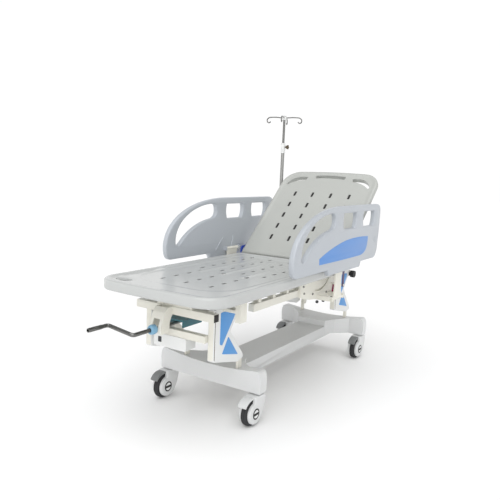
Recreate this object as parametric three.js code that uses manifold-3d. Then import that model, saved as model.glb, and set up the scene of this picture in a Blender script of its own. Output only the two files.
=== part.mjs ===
// Height-adjustable patient stretcher trolley, in millimetres, +Z up, head end at +X.
// Every named mesh is one separate piece of the trolley. The two decks, the side rails,
// the columns and the crank hang on an upper frame. Two pairs of parallel swing arms
// carry that frame on a moulded base with four braked castors.
import * as THREE from 'three';
import { mergeVertices } from 'three/addons/utils/BufferGeometryUtils.js';
import Module from 'manifold-3d';

const wasm = await Module();
wasm.setup();

// ---- driving dimensions -------------------------------------------------------------
// Lengths along X are measured from the middle of the flat platform; ORIGIN_SHIFT then
// puts the origin on the floor midway between the foot and head castors.
const ORIGIN_SHIFT = -90;
const GAP = 0.3;
const DEG = Math.PI / 180;

const DECK_FOOT_X = -980;
const DECK_HALF_WIDTH = 342;
const DECK_TOP = 672;
const DECK_RIM_BOTTOM = 626;
const DECK_SKIN_BOTTOM = 654;
const DECK_SKIN_TOP = 666;
const DECK_CORNER_R = 110;
const DECK_RIM_WIDTH = 16;
const LEG_END_X = 184;

const HINGE_X = 200;
const HINGE_Z = 655;
const BACK_LENGTH = 770;
const BACK_START = 12;
const BACK_LOW = -13;
const BACK_HIGH = 17;
const BACK_ANGLE = 43;

const TUBE_IN_Y = 235;
const TUBE_OUT_Y = 265;
const TUBE_BOTTOM = 540;
const TUBE_TOP = 575;
const TUBE_FOOT_X = -585;
const TUBE_HEAD_X = 284;
const FRAME_FOOT_X = -830;
const FRAME_HEAD_X = 690;
const BEAM_DEPTH = 35;
const FOOT_BEAM_HALF = 222;
const HEAD_BEAM_HALF = 195;
const BEAM_BOTTOM = 530;
const BEAM_TOP = 565;
const BUMPER_Z = 545;

const FOOT_COLUMN_X = -791;
const HEAD_COLUMN_X = 463;
const COLUMN_IN_Y = 164;
const COLUMN_OUT_Y = 198;
const COLUMN_BOTTOM = 341;
const COLUMN_TOP = 575;

const SWIVEL_X = { foot: -537, head: 717 };
const SWIVEL_Y = 267;
const CASTOR_TRAIL = 45;
const WHEEL_R = 62.5;
const CASTOR_TOP = 141;

const COVER_BOTTOM = 147;
const ARCH_END_TOP = 255;
const ARCH_MID_TOP = 233;
const TRAY_TOP = 200;
const TRAY_HALF = 98;
const COVER_WALL = 6;

const ARM_LOW = { dx: 7, z: 300 };
const ARM_TOP = { dx: -205, z: 540 };
const ARM_IN_Y = 138;
const ARM_OUT_Y = 150;
const PIN_R = 8;

const RAIL_IN_Y = 366;
const RAIL_OUT_Y = 394;
const RAIL_BOTTOM = 686;
const RAIL_TOP = 1010;
const RAIL_FOOT_X = -470;
const RAIL_HEAD_X = 612;
const LINK_Y = 356;
const LINK_LOW_Z = 505;
const LINK_TOP_Z = 705;
const LINK_X = [62, 178];

const CRANK_Y = 40;
const CRANK_Z = 473;
const CRANK_BEND_X = -1037;
const CRANK_ARM_END = { y: 188, z: 490 };
const CRANK_GRIP_X = -1147;

const POLE_X = 700;
const POLE_Y = 362;

const SIDES = { near: -1, far: 1 };

// ---- materials ----------------------------------------------------------------------
const paint = (color, roughness, metalness = 0) =>
  new THREE.MeshStandardMaterial({ color, roughness, metalness });
const MAT = {
  deck: paint(0xd9d9d4, 0.3),
  rail: paint(0xc6cbd2, 0.4),
  cover: paint(0xd8d8d6, 0.4),
  frame: paint(0xdad8d0, 0.4, 0.1),
  steel: paint(0x9a9c9c, 0.3, 0.9),
  darkSteel: paint(0x5e6060, 0.35, 0.9),
  tyre: paint(0x2f2f31, 0.8),
  blue: paint(0x2f4fa8, 0.4),
  teal: paint(0x3c6f7a, 0.5),
  red: paint(0x8c2447, 0.4),
  rubber: paint(0x1d1c1b, 0.8),
};

// ---- solid helpers ------------------------------------------------------------------
function solid(geometry) {
  geometry.deleteAttribute('normal');
  geometry.deleteAttribute('uv');
  const merged = mergeVertices(geometry, 1e-4);
  const vertProperties = new Float32Array(merged.attributes.position.array);
  const triVerts = new Uint32Array(merged.index.array);
  return new wasm.Manifold(new wasm.Mesh({ numProp: 3, vertProperties, triVerts }));
}

function geometryOf(manifold) {
  const mesh = manifold.getMesh();
  const geometry = new THREE.BufferGeometry();
  geometry.setAttribute('position', new THREE.BufferAttribute(mesh.vertProperties, 3));
  geometry.setIndex(new THREE.BufferAttribute(mesh.triVerts, 1));
  return geometry;
}

function box(x0, x1, y0, y1, z0, z1) {
  const geometry = new THREE.BoxGeometry(x1 - x0, y1 - y0, z1 - z0);
  geometry.translate((x0 + x1) / 2, (y0 + y1) / 2, (z0 + z1) / 2);
  return solid(geometry);
}

function rod(from, to, radius, segments = 12) {
  const start = new THREE.Vector3(...from);
  const end = new THREE.Vector3(...to);
  const along = end.clone().sub(start);
  const geometry = new THREE.CylinderGeometry(radius, radius, along.length(), segments);
  const upright = new THREE.Vector3(0, 1, 0);
  const turn = new THREE.Quaternion().setFromUnitVectors(upright, along.clone().normalize());
  geometry.applyQuaternion(turn);
  const middle = start.add(end).multiplyScalar(0.5);
  geometry.translate(middle.x, middle.y, middle.z);
  return solid(geometry);
}

function polygon(points) {
  return new THREE.Shape(points.map(([a, b]) => new THREE.Vector2(a, b)));
}

function extrude(shape, depth, curveSegments) {
  return new THREE.ExtrudeGeometry(shape, { depth, bevelEnabled: false, steps: 1, curveSegments });
}

// A shape drawn in X and Z, made thick along Y.
function plateXZ(shape, y0, y1, curveSegments = 6) {
  const geometry = extrude(shape, y1 - y0, curveSegments);
  geometry.rotateX(Math.PI / 2);
  geometry.translate(0, y1, 0);
  return solid(geometry);
}

// A shape drawn in X and Y, made thick along Z.
function plateXY(shape, z0, z1, curveSegments = 6) {
  const geometry = extrude(shape, z1 - z0, curveSegments);
  geometry.translate(0, 0, z0);
  return solid(geometry);
}

// A shape drawn in Y and Z, made thick along X.
function plateYZ(shape, x0, x1, curveSegments = 6) {
  const geometry = extrude(shape, x1 - x0, curveSegments);
  const basis = new THREE.Matrix4().makeBasis(
    new THREE.Vector3(0, 1, 0),
    new THREE.Vector3(0, 0, 1),
    new THREE.Vector3(1, 0, 0),
  );
  geometry.applyMatrix4(basis);
  geometry.translate(x0, 0, 0);
  return solid(geometry);
}

// A Y span given as distances from the centre plane, on one side of the trolley.
function span(side, inner, outer) {
  return side < 0 ? [-outer, -inner] : [inner, outer];
}

const joined = (solids) => solids.reduce((sum, next) => sum.add(next));

const trolley = new THREE.Group();
trolley.position.x = ORIGIN_SHIFT;

function piece(name, manifold, material, parent = trolley) {
  const mesh = new THREE.Mesh(geometryOf(manifold), material);
  mesh.name = name;
  parent.add(mesh);
}

// ---- base ---------------------------------------------------------------------------
function archOutline(inset) {
  const half = 300 - inset;
  const shape = new THREE.Shape();
  shape.moveTo(-half, COVER_BOTTOM);
  shape.lineTo(half, COVER_BOTTOM);
  shape.lineTo(half + 3, 200);
  shape.quadraticCurveTo(half + 2, ARCH_END_TOP - inset, half - 20, ARCH_END_TOP - inset);
  shape.quadraticCurveTo(0, 2 * ARCH_MID_TOP - ARCH_END_TOP - inset, 20 - half, ARCH_END_TOP - inset);
  shape.quadraticCurveTo(-half - 2, ARCH_END_TOP - inset, -half - 3, 200);
  return shape;
}

// Plan of one end of the cover: a thin arch over the castors that flares into the tray.
const ARCH_FRONT = -24;
const ARCH_BACK = 34;
const FLARE = { foot: 167, head: -167 };

function archPlan(end) {
  const swivel = SWIVEL_X[end];
  const front = swivel + (end === 'foot' ? ARCH_FRONT : ARCH_BACK);
  const back = swivel + (end === 'foot' ? ARCH_BACK : ARCH_FRONT);
  const root = swivel + FLARE[end];
  const half = [[front, 310], [back, 310], [back, 205], [(back + root) / 2, 128], [root, TRAY_HALF]];
  const mirrored = half.map(([x, y]) => [x, -y]).reverse();
  return polygon([...half, ...mirrored]);
}

function baseCover() {
  const parts = [];
  const hollows = [];
  for (const [end, swivel] of Object.entries(SWIVEL_X)) {
    const reach = [swivel - 200, swivel + 200];
    const plan = plateXY(archPlan(end), COVER_BOTTOM, ARCH_END_TOP + 5);
    parts.push(plateYZ(archOutline(0), ...reach).intersect(plan));
    hollows.push(plateYZ(archOutline(COVER_WALL), swivel + ARCH_FRONT + COVER_WALL, swivel + ARCH_BACK - COVER_WALL));
    for (const side of Object.values(SIDES)) {
      const slotX = [swivel - 14, swivel + ARCH_BACK - COVER_WALL];
      hollows.push(box(...slotX, ...span(side, 151, 165), TRAY_TOP, ARCH_END_TOP + 10));
    }
  }
  const trayX = [SWIVEL_X.foot + ARCH_BACK - 4, SWIVEL_X.head + ARCH_FRONT + 4];
  const cavityX = [SWIVEL_X.foot + 10, SWIVEL_X.head - 10];
  parts.push(box(...trayX, -TRAY_HALF, TRAY_HALF, COVER_BOTTOM - 12, TRAY_TOP));
  hollows.push(box(...cavityX, 12 - TRAY_HALF, TRAY_HALF - 12, COVER_BOTTOM - 20, TRAY_TOP - COVER_WALL));
  return joined(parts).subtract(joined(hollows));
}

// Steel H under the cover: a bar over each pair of castors, a spine, and the ears that
// carry the lower pins of the swing arms.
function chassisFrame() {
  const bars = [box(SWIVEL_X.foot + 20, SWIVEL_X.head - 10, -28, 28, 154, 188)];
  const holes = [];
  for (const swivel of Object.values(SWIVEL_X)) {
    bars.push(box(swivel - 17.5, swivel + 27.5, -284, 284, 152, 212));
    for (const side of Object.values(SIDES)) {
      const pin = swivel + ARM_LOW.dx;
      const ear = polygon([
        [pin - 18, 205], [pin + 19, 205], [pin + 14, ARM_LOW.z + 14], [pin - 12, ARM_LOW.z + 14],
      ]);
      bars.push(plateXZ(ear, ...span(side, 153, 163)));
      const inner = side * (ARM_IN_Y + 1.5);
      bars.push(rod([pin, side * 160, ARM_LOW.z], [pin, inner, ARM_LOW.z], PIN_R));
      holes.push(rod([swivel, side * SWIVEL_Y, 140], [swivel, side * SWIVEL_Y, 204], 10.6));
    }
  }
  return joined(bars).subtract(joined(holes));
}

// Two parallel arms joined by a torsion tube at their upper pins.
function liftArms(swivel) {
  const low = [swivel + ARM_LOW.dx, ARM_LOW.z];
  const top = [swivel + ARM_TOP.dx, ARM_TOP.z];
  const parts = [rod([top[0], -ARM_IN_Y, top[1]], [top[0], ARM_IN_Y, top[1]], 15)];
  const holes = [];
  for (const side of Object.values(SIDES)) {
    const [y0, y1] = span(side, ARM_IN_Y, ARM_OUT_Y);
    const slant = Math.atan2(top[1] - low[1], top[0] - low[0]);
    const nx = 14 * Math.sin(slant);
    const nz = -14 * Math.cos(slant);
    const bar = polygon([
      [low[0] + nx, low[1] + nz], [top[0] + nx, top[1] + nz],
      [top[0] - nx, top[1] - nz], [low[0] - nx, low[1] - nz],
    ]);
    parts.push(plateXZ(bar, y0, y1));
    for (const [x, z] of [low, top]) {
      parts.push(rod([x, y0, z], [x, y1, z], 18, 16));
      holes.push(rod([x, side * (ARM_IN_Y + 0.5), z], [x, side * (ARM_OUT_Y + 5), z], PIN_R + 0.8));
    }
  }
  return joined(parts).subtract(joined(holes));
}

function addBase() {
  piece('base_cover', baseCover(), MAT.cover);
  piece('chassis_frame', chassisFrame(), MAT.frame);
  for (const [end, swivel] of Object.entries(SWIVEL_X)) {
    piece(`${end}_lift_arms`, liftArms(swivel), MAT.frame);
  }
}

// ---- castors ------------------------------------------------------------------------
function castorHousing(x, y) {
  const wheel = [x - CASTOR_TRAIL, WHEEL_R];
  const head = polygon([
    [x - 48, 96], [x - 48, CASTOR_TOP], [x + 26, CASTOR_TOP], [x + 38, 128],
    [x + 34, 84], [x + 4, 30], [wheel[0], WHEEL_R],
  ]);
  const shell = joined([
    plateXZ(head, y - 33, y + 33),
    rod([wheel[0], y - 33, WHEEL_R], [wheel[0], y + 33, WHEEL_R], 50, 24),
  ]);
  const slot = rod([wheel[0], y - 17.5, WHEEL_R], [wheel[0], y + 17.5, WHEEL_R], WHEEL_R + 4, 24);
  const axle = rod([wheel[0], y - 20, WHEEL_R], [wheel[0], y + 20, WHEEL_R], 6);
  const stem = rod([x, y, CASTOR_TOP - 4], [x, y, 202], 10);
  return joined([shell.subtract(slot), axle, stem]);
}

function lathe(profile, x, y, segments) {
  const points = profile.map(([r, h]) => new THREE.Vector2(r, h));
  const geometry = new THREE.LatheGeometry(points, segments);
  geometry.translate(x, y, WHEEL_R);
  return solid(geometry);
}

function castorHub(x, y) {
  const profile = [[6.8, -15], [40, -15], [44, -11], [44, 11], [40, 15], [6.8, 15], [6.8, -15]];
  return lathe(profile, x - CASTOR_TRAIL, y, 24);
}

function castorTyre(x, y) {
  const rim = 44 + GAP;
  const profile = [[rim, -13], [57, -15], [WHEEL_R, -8], [WHEEL_R, 8], [57, 15], [rim, 13], [rim, -13]];
  return lathe(profile, x - CASTOR_TRAIL, y, 24);
}

function castorPedal(x, y) {
  const lever = polygon([
    [x - 51, 131], [x - 51, CASTOR_TOP], [x - 66, 143], [x - 96, 134],
    [x - 120, 112], [x - 114, 104], [x - 86, 126],
  ]);
  return plateXZ(lever, y - 16, y + 16);
}

function addCastors() {
  for (const [end, x] of Object.entries(SWIVEL_X)) {
    for (const [sideName, side] of Object.entries(SIDES)) {
      const y = side * SWIVEL_Y;
      const tag = `${end}_${sideName}`;
      piece(`castor_housing_${tag}`, castorHousing(x, y), MAT.cover);
      piece(`castor_hub_${tag}`, castorHub(x, y), MAT.cover);
      piece(`castor_tyre_${tag}`, castorTyre(x, y), MAT.tyre);
      piece(`castor_pedal_${tag}`, castorPedal(x, y), MAT.darkSteel);
    }
  }
}

// ---- upper frame --------------------------------------------------------------------
function column(left, side) {
  const outline = polygon([
    [left, COLUMN_BOTTOM], [left + 190, 296], [left + 238, 308], [left + 230, 330], [left + 124, 456],
    [left + 179, 532], [left + 191, 552], [left + 191, COLUMN_TOP], [left, COLUMN_TOP],
  ]);
  const shell = plateXZ(outline, ...span(side, COLUMN_IN_Y, COLUMN_OUT_Y));
  const pinX = left + 49;
  const inner = side * (ARM_IN_Y + 1.5);
  return shell.add(rod([pinX, side * (COLUMN_IN_Y + 4), ARM_TOP.z], [pinX, inner, ARM_TOP.z], PIN_R));
}

// Cross tube under the backrest hinge, with two ears that hold the hinge pins and a short
// pin at each end for the release levers.
function hingeBeam() {
  const parts = [box(HINGE_X - 25, HINGE_X + 25, GAP - TUBE_IN_Y, TUBE_IN_Y - GAP, 538, 570)];
  for (const side of Object.values(SIDES)) {
    const ear = polygon([
      [HINGE_X - 16, 568], [HINGE_X + 16, 568], [HINGE_X + 8, HINGE_Z + 8], [HINGE_X - 8, HINGE_Z + 8],
    ]);
    parts.push(plateXZ(ear, ...span(side, 180, 190)));
    parts.push(rod([HINGE_X, side * 186, HINGE_Z], [HINGE_X, side * 204, HINGE_Z], 5));
  }
  return joined(parts);
}

// Flat runners inside the head columns that tie the head beam to the hinge beam.
function headRunners() {
  const x = [HINGE_X + 25 + GAP, FRAME_HEAD_X - 25];
  const runners = Object.values(SIDES).map((side) => box(...x, ...span(side, 151.5, COLUMN_IN_Y - GAP), 553, TUBE_TOP));
  return joined(runners);
}

function addFrame() {
  for (const [sideName, side] of Object.entries(SIDES)) {
    const across = span(side, TUBE_IN_Y, TUBE_OUT_Y);
    const tube = box(TUBE_FOOT_X, TUBE_HEAD_X, ...across, TUBE_BOTTOM, TUBE_TOP);
    piece(`side_tube_${sideName}`, tube, MAT.frame);
    piece(`foot_column_${sideName}`, column(FOOT_COLUMN_X, side), MAT.cover);
    piece(`head_column_${sideName}`, column(HEAD_COLUMN_X, side), MAT.cover);
  }
  const upperBeam = (x, half) => box(x, x + BEAM_DEPTH, -half, half, BEAM_BOTTOM, BEAM_TOP);
  piece('foot_upper_beam', upperBeam(FRAME_FOOT_X, FOOT_BEAM_HALF), MAT.frame);
  piece('head_upper_beam', upperBeam(FRAME_HEAD_X - BEAM_DEPTH, HEAD_BEAM_HALF).add(headRunners()), MAT.frame);
  for (const [end, left] of [['foot', FOOT_COLUMN_X], ['head', HEAD_COLUMN_X]]) {
    const width = COLUMN_IN_Y - GAP;
    piece(`${end}_lower_beam`, box(left - 21, left + 9, -width, width, 425, 456), MAT.frame);
  }
  piece('hinge_beam', hingeBeam(), MAT.frame);
}

// Cross bearers that sit on the side tubes and the foot beam and carry the leg deck on feet.
function deckFrame() {
  const overBeam = [FRAME_FOOT_X + 4, FRAME_FOOT_X + BEAM_DEPTH - 4];
  const parts = [
    box(overBeam[0], -125, -18, 18, TUBE_TOP + GAP, 600),
    box(...overBeam, -100, 100, BEAM_TOP + GAP, 600),
  ];
  for (let i = 0; i < 5; i += 1) {
    const x = -660 + 130 * i;
    parts.push(box(x - 12, x + 12, -262, 262, TUBE_TOP + GAP, 600));
    for (const side of Object.values(SIDES)) {
      parts.push(box(x - 12, x + 12, ...span(side, 236, 262), 598, DECK_SKIN_BOTTOM - GAP));
    }
  }
  return joined(parts);
}

// Round buffer on the end of the head beam.
function bumper(side) {
  const x = FRAME_HEAD_X - BEAM_DEPTH / 2;
  const at = (reach) => [x, side * (HEAD_BEAM_HALF + reach), BUMPER_Z];
  return rod(at(GAP), at(12), 13, 16).add(rod(at(10), at(34), 22, 20));
}

// Socket block for a spare infusion pole, on an arm from the near foot column.
function socketBlock() {
  const y = -TUBE_OUT_Y - GAP;
  const block = box(-735, -687, y - 28, y, 522, 612);
  const arm = box(-735, -687, y - 5, -COLUMN_OUT_Y - GAP, 562, COLUMN_TOP);
  return block.add(arm).subtract(rod([-711, y - 14, 540], [-711, y - 14, 620], 9.5));
}

// ---- decks --------------------------------------------------------------------------
// Leg deck outline with round foot corners and a slightly bowed foot edge.
function legOutline(inset) {
  const foot = DECK_FOOT_X + inset;
  const half = DECK_HALF_WIDTH - inset;
  const radius = DECK_CORNER_R - inset;
  const head = LEG_END_X - inset;
  const bow = 14;
  const shape = new THREE.Shape();
  shape.moveTo(head, half);
  shape.lineTo(foot + radius, half);
  shape.absarc(foot + radius, half - radius, radius, Math.PI / 2, Math.PI, false);
  shape.quadraticCurveTo(foot - bow, 0, foot, radius - half);
  shape.absarc(foot + radius, radius - half, radius, Math.PI, 1.5 * Math.PI, false);
  shape.lineTo(head, -half);
  return shape;
}

const SLOT_COLUMNS = [-190, -64, 64, 190];
const FOOT_SLOTS = { start: -745, pitch: 95, count: 4, length: 26, width: 10, columns: [-140, 0, 140] };
const SEAT_SLOTS = { start: -380, pitch: 95, count: 6, length: 26, width: 10, columns: SLOT_COLUMNS };
const BACK_SLOTS = { start: 160, pitch: 97, count: 5, length: 42, width: 16, columns: SLOT_COLUMNS };

function slotGrid({ start, pitch, count, length, width, columns }, z0, z1) {
  const slots = [];
  for (let row = 0; row < count; row += 1) {
    const x = start + row * pitch;
    for (const y of columns) {
      slots.push(box(x - length / 2, x + length / 2, y - width / 2, y + width / 2, z0, z1));
    }
  }
  return joined(slots);
}

function ellipse(x, y, rx, ry) {
  const shape = new THREE.Shape();
  shape.absellipse(x, y, rx, ry, 0, 2 * Math.PI, false, 0);
  return shape;
}

function legPanel() {
  const body = plateXY(legOutline(0), DECK_RIM_BOTTOM, DECK_TOP, 8);
  const well = plateXY(legOutline(DECK_RIM_WIDTH), DECK_SKIN_TOP, DECK_TOP + 5, 8);
  const pocket = plateXY(legOutline(12), DECK_RIM_BOTTOM - 5, DECK_SKIN_BOTTOM, 8);
  const slots = [FOOT_SLOTS, SEAT_SLOTS].map((grid) => slotGrid(grid, DECK_SKIN_BOTTOM - 5, DECK_TOP));
  const handle = plateXY(ellipse(-895, 240, 26, 46), DECK_RIM_BOTTOM - 5, DECK_TOP + 5, 10);
  const leverNotch = box(LEG_END_X - 24, LEG_END_X + 5, -9, 9, DECK_RIM_BOTTOM - 5, 662);
  const cuts = joined([well, pocket, leverNotch, handle, ...slots]);
  return body.subtract(cuts);
}

// The backrest is drawn flat, with u along its length from the hinge, and then turned up.
function backOutline(inset) {
  const low = BACK_START + inset;
  const high = BACK_LENGTH - inset;
  const half = DECK_HALF_WIDTH - 4 - inset;
  const radius = 105 - inset;
  const shape = new THREE.Shape();
  shape.moveTo(low, -half);
  shape.lineTo(high - 14 - radius, -half);
  shape.absarc(high - 14 - radius, radius - half, radius, 1.5 * Math.PI, 2 * Math.PI, false);
  shape.quadraticCurveTo(high + 14, 0, high - 14, half - radius);
  shape.absarc(high - 14 - radius, half - radius, radius, 0, Math.PI / 2, false);
  shape.lineTo(low, half);
  return shape;
}

function backHandles() {
  const centre = new THREE.Shape();
  centre.moveTo(700, -104);
  centre.lineTo(726, -108);
  centre.quadraticCurveTo(740, 0, 726, 108);
  centre.lineTo(700, 104);
  centre.quadraticCurveTo(712, 0, 700, -104);
  const openings = [centre];
  for (const side of Object.values(SIDES)) {
    const corner = new THREE.Shape();
    corner.moveTo(708, side * 160);
    corner.quadraticCurveTo(726, side * 262, 640, side * 292);
    corner.quadraticCurveTo(626, side * 294, 632, side * 280);
    corner.quadraticCurveTo(676, side * 236, 682, side * 166);
    openings.push(corner);
  }
  return joined(openings.map((shape) => plateXY(shape, BACK_LOW - 5, BACK_HIGH + 5, 5)));
}

function backrestPanel() {
  const body = plateXY(backOutline(0), BACK_LOW, BACK_HIGH, 8);
  const slots = slotGrid(BACK_SLOTS, BACK_LOW - 5, BACK_HIGH + 5);
  return body.subtract(slots).subtract(backHandles());
}

// Slotted lever under the hinge: the gas spring's pin pushes it along, up and down its slot.
const PUSH_PIN_Z = 598;
const LEVER_ANGLE = -125 * DEG;
const PUSH_PIN_X = HINGE_X + (HINGE_Z - PUSH_PIN_Z) * Math.tan(BACK_ANGLE * DEG + LEVER_ANGLE + Math.PI / 2);

function onLever(reach, side) {
  const x = reach * Math.cos(LEVER_ANGLE) - side * Math.sin(LEVER_ANGLE);
  const z = reach * Math.sin(LEVER_ANGLE) + side * Math.cos(LEVER_ANGLE);
  return [x, z];
}

function pushLever() {
  const bar = polygon([onLever(0, -14), onLever(80, -14), onLever(80, 14), onLever(0, 14)]);
  const slot = polygon([onLever(50, -8), onLever(76.5, -8), onLever(76.5, 8), onLever(50, 8)]);
  const top = BACK_LOW - GAP;
  const web = polygon([[-10, -20], [-8, 6], [8, 6], [10, top], [70, top], [70, top - 24], [4, -40]]);
  return plateXZ(bar, -5, 5).add(plateXZ(web, -5, 5)).subtract(plateXZ(slot, -8, 8));
}

function backrestFrame() {
  const top = BACK_LOW - GAP;
  const parts = [
    box(60, 640, -28, 28, top - 24, top),
    box(60, 96, -206, 206, top - 24, top),
    pushLever(),
  ];
  const holes = [];
  for (const side of Object.values(SIDES)) {
    const lug = polygon([[-9, -6], [-9, 9], [9, 9], [9, top], [62, top], [62, top - 24], [40, top - 24], [0, -15]]);
    parts.push(plateXZ(lug, ...span(side, 192, 203)));
    holes.push(rod([0, side * 188, 0], [0, side * 208, 0], 5.7));
  }
  return joined(parts).subtract(joined(holes));
}

function addDecks() {
  piece('deck_frame', deckFrame(), MAT.frame);
  piece('leg_panel', legPanel(), MAT.deck);
  const backrest = new THREE.Group();
  backrest.position.set(HINGE_X, 0, HINGE_Z);
  backrest.rotation.y = -BACK_ANGLE * DEG;
  piece('backrest_panel', backrestPanel(), MAT.deck, backrest);
  piece('backrest_frame', backrestFrame(), MAT.frame, backrest);
  trolley.add(backrest);
}

// ---- gas spring ---------------------------------------------------------------------
function gasCylinder() {
  const body = rod([-124.5, 0, PUSH_PIN_Z], [60, 0, PUSH_PIN_Z], 13, 20);
  return body.subtract(rod([-100, 0, PUSH_PIN_Z], [65, 0, PUSH_PIN_Z], 6.4, 20));
}

function gasRod() {
  const pin = PUSH_PIN_X;
  const fork = joined([
    box(pin - 34, pin - 25, -11.5, 11.5, PUSH_PIN_Z - 8, PUSH_PIN_Z + 8),
    box(pin - 34, pin + 8, -11.5, -6.5, PUSH_PIN_Z - 8, PUSH_PIN_Z + 8),
    box(pin - 34, pin + 8, 6.5, 11.5, PUSH_PIN_Z - 8, PUSH_PIN_Z + 8),
  ]);
  const shaft = rod([-20, 0, PUSH_PIN_Z], [pin - 30, 0, PUSH_PIN_Z], 5.5, 20);
  const pushPin = rod([pin, -9, PUSH_PIN_Z], [pin, 9, PUSH_PIN_Z], 5);
  return joined([fork, shaft, pushPin]);
}

// ---- crank and lead screw -----------------------------------------------------------
// Sloping channel under the foot beam. The notch in its front lets the lead screw through
// and the boot rests against the edges of that notch.
function crankBracket() {
  const front = FRAME_FOOT_X - GAP;
  const outer = polygon([
    [front, 565], [-862, 565], [-880, 545], [-905, 480], [-900, 450], [-850, 450], [-845, 500], [front, 530],
  ]);
  const inner = polygon([[-825, 572], [-857, 572], [-872, 543], [-896, 478], [-891, 440], [-825, 440]]);
  const shell = plateXZ(outer, CRANK_Y - 34, CRANK_Y + 34);
  const channel = plateXZ(inner, CRANK_Y - 28, CRANK_Y + 28);
  const notch = box(-915, -860, CRANK_Y - 18, CRANK_Y + 18, 440, 516);
  return shell.subtract(channel).subtract(notch);
}

function crankBoot() {
  const outer = rod([-938, CRANK_Y, CRANK_Z], [-905 - GAP, CRANK_Y, CRANK_Z], 22, 20);
  return outer.subtract(rod([-940, CRANK_Y, CRANK_Z], [-900, CRANK_Y, CRANK_Z], 10.2, 20));
}

function gearboxHousing() {
  const outline = polygon([
    [-62, 373], [-55, 366], [119, 366], [126, 373], [126, 418], [120, 424.6], [-56, 424.6], [-62, 418],
  ]);
  return plateYZ(outline, -815, -745);
}

// Inverted channel over the lead screw.
function screwCover() {
  const outline = polygon([[-14, 459], [-8, 459], [-8, 486], [88, 486], [88, 459], [94, 459], [94, 492], [-14, 492]]);
  return plateYZ(outline, -778, -640);
}

function crankHandle() {
  const bend = [CRANK_BEND_X, CRANK_Y, CRANK_Z];
  const armEnd = [CRANK_BEND_X, CRANK_ARM_END.y, CRANK_ARM_END.z];
  const knuckle = (at, radius) => {
    const geometry = new THREE.SphereGeometry(radius, 10, 6);
    geometry.translate(...at);
    return solid(geometry);
  };
  return joined([
    rod([-900 - GAP, CRANK_Y, CRANK_Z], bend, 9),
    knuckle(bend, 9.2),
    rod(bend, armEnd, 8),
    knuckle(armEnd, 9.2),
    rod(armEnd, [CRANK_GRIP_X, CRANK_ARM_END.y, CRANK_ARM_END.z], 9),
  ]);
}

function addCrank() {
  piece('crank_bracket', crankBracket(), MAT.cover);
  piece('crank_boot', crankBoot(), MAT.teal);
  piece('gearbox_housing', gearboxHousing(), MAT.cover);
  piece('screw_cover', screwCover(), MAT.teal);
  piece('lead_screw', rod([-900, CRANK_Y, CRANK_Z], [-655, CRANK_Y, CRANK_Z], 8), MAT.steel);
  piece('crank_handle', crankHandle(), MAT.darkSteel);
  piece('gas_spring_cylinder', gasCylinder(), MAT.darkSteel);
  piece('gas_spring_rod', gasRod(), MAT.steel);
}

// ---- side rails ---------------------------------------------------------------------
function railOutline() {
  const foot = RAIL_FOOT_X;
  const head = RAIL_HEAD_X;
  const shape = new THREE.Shape();
  shape.moveTo(foot + 45, RAIL_BOTTOM);
  shape.lineTo(-96, RAIL_BOTTOM);
  shape.lineTo(-78, RAIL_BOTTOM - 30);
  shape.lineTo(330, RAIL_BOTTOM - 30);
  shape.lineTo(344, RAIL_BOTTOM);
  shape.lineTo(540, RAIL_BOTTOM);
  shape.quadraticCurveTo(575, RAIL_BOTTOM + 4, 592, RAIL_BOTTOM + 50);
  shape.quadraticCurveTo(head, RAIL_BOTTOM + 180, head, 965);
  shape.quadraticCurveTo(head - 4, RAIL_TOP, head - 62, RAIL_TOP);
  shape.lineTo(60, RAIL_TOP);
  shape.bezierCurveTo(-210, RAIL_TOP, foot + 18, 925, foot, 770);
  shape.quadraticCurveTo(foot - 4, RAIL_BOTTOM, foot + 45, RAIL_BOTTOM);
  return shape;
}

const WINDOW_X = [[65, 245], [340, 515]];

function railOpenings() {
  const crescent = new THREE.Shape();
  crescent.moveTo(-392, 775);
  crescent.bezierCurveTo(-400, 900, -220, 975, -70, 976);
  crescent.quadraticCurveTo(-30, 976, -32, 930);
  crescent.quadraticCurveTo(-34, 898, -80, 890);
  crescent.quadraticCurveTo(-250, 868, -352, 768);
  crescent.quadraticCurveTo(-386, 742, -392, 775);
  const windows = WINDOW_X.map(([x0, x1]) => {
    const shape = new THREE.Shape();
    shape.moveTo(x0 + 12, 886);
    shape.lineTo(x1 - 14, 886);
    shape.quadraticCurveTo(x1 + 12, 930, x1 - 6, 972);
    shape.lineTo(x0 + 6, 972);
    shape.quadraticCurveTo(x0 - 8, 930, x0 + 12, 886);
    return shape;
  });
  return [crescent, ...windows];
}

const LUG_X = [[45, 58], [182, 195]];

function sideRail(side) {
  const slab = plateXZ(railOutline(), ...span(side, RAIL_IN_Y, RAIL_OUT_Y), 8);
  const through = span(side, RAIL_IN_Y - 5, RAIL_OUT_Y + 5);
  const openings = railOpenings().map((shape) => plateXZ(shape, ...through, 6));
  const lugY = span(side, LINK_Y - 12, RAIL_IN_Y + 2);
  const lugs = LUG_X.map(([x0, x1]) => box(x0, x1, ...lugY, LINK_TOP_Z - 12, LINK_TOP_Z + 12));
  const bore = rod([30, side * LINK_Y, LINK_TOP_Z], [210, side * LINK_Y, LINK_TOP_Z], 6.7);
  return slab.subtract(joined(openings)).add(joined(lugs)).subtract(bore);
}

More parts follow.
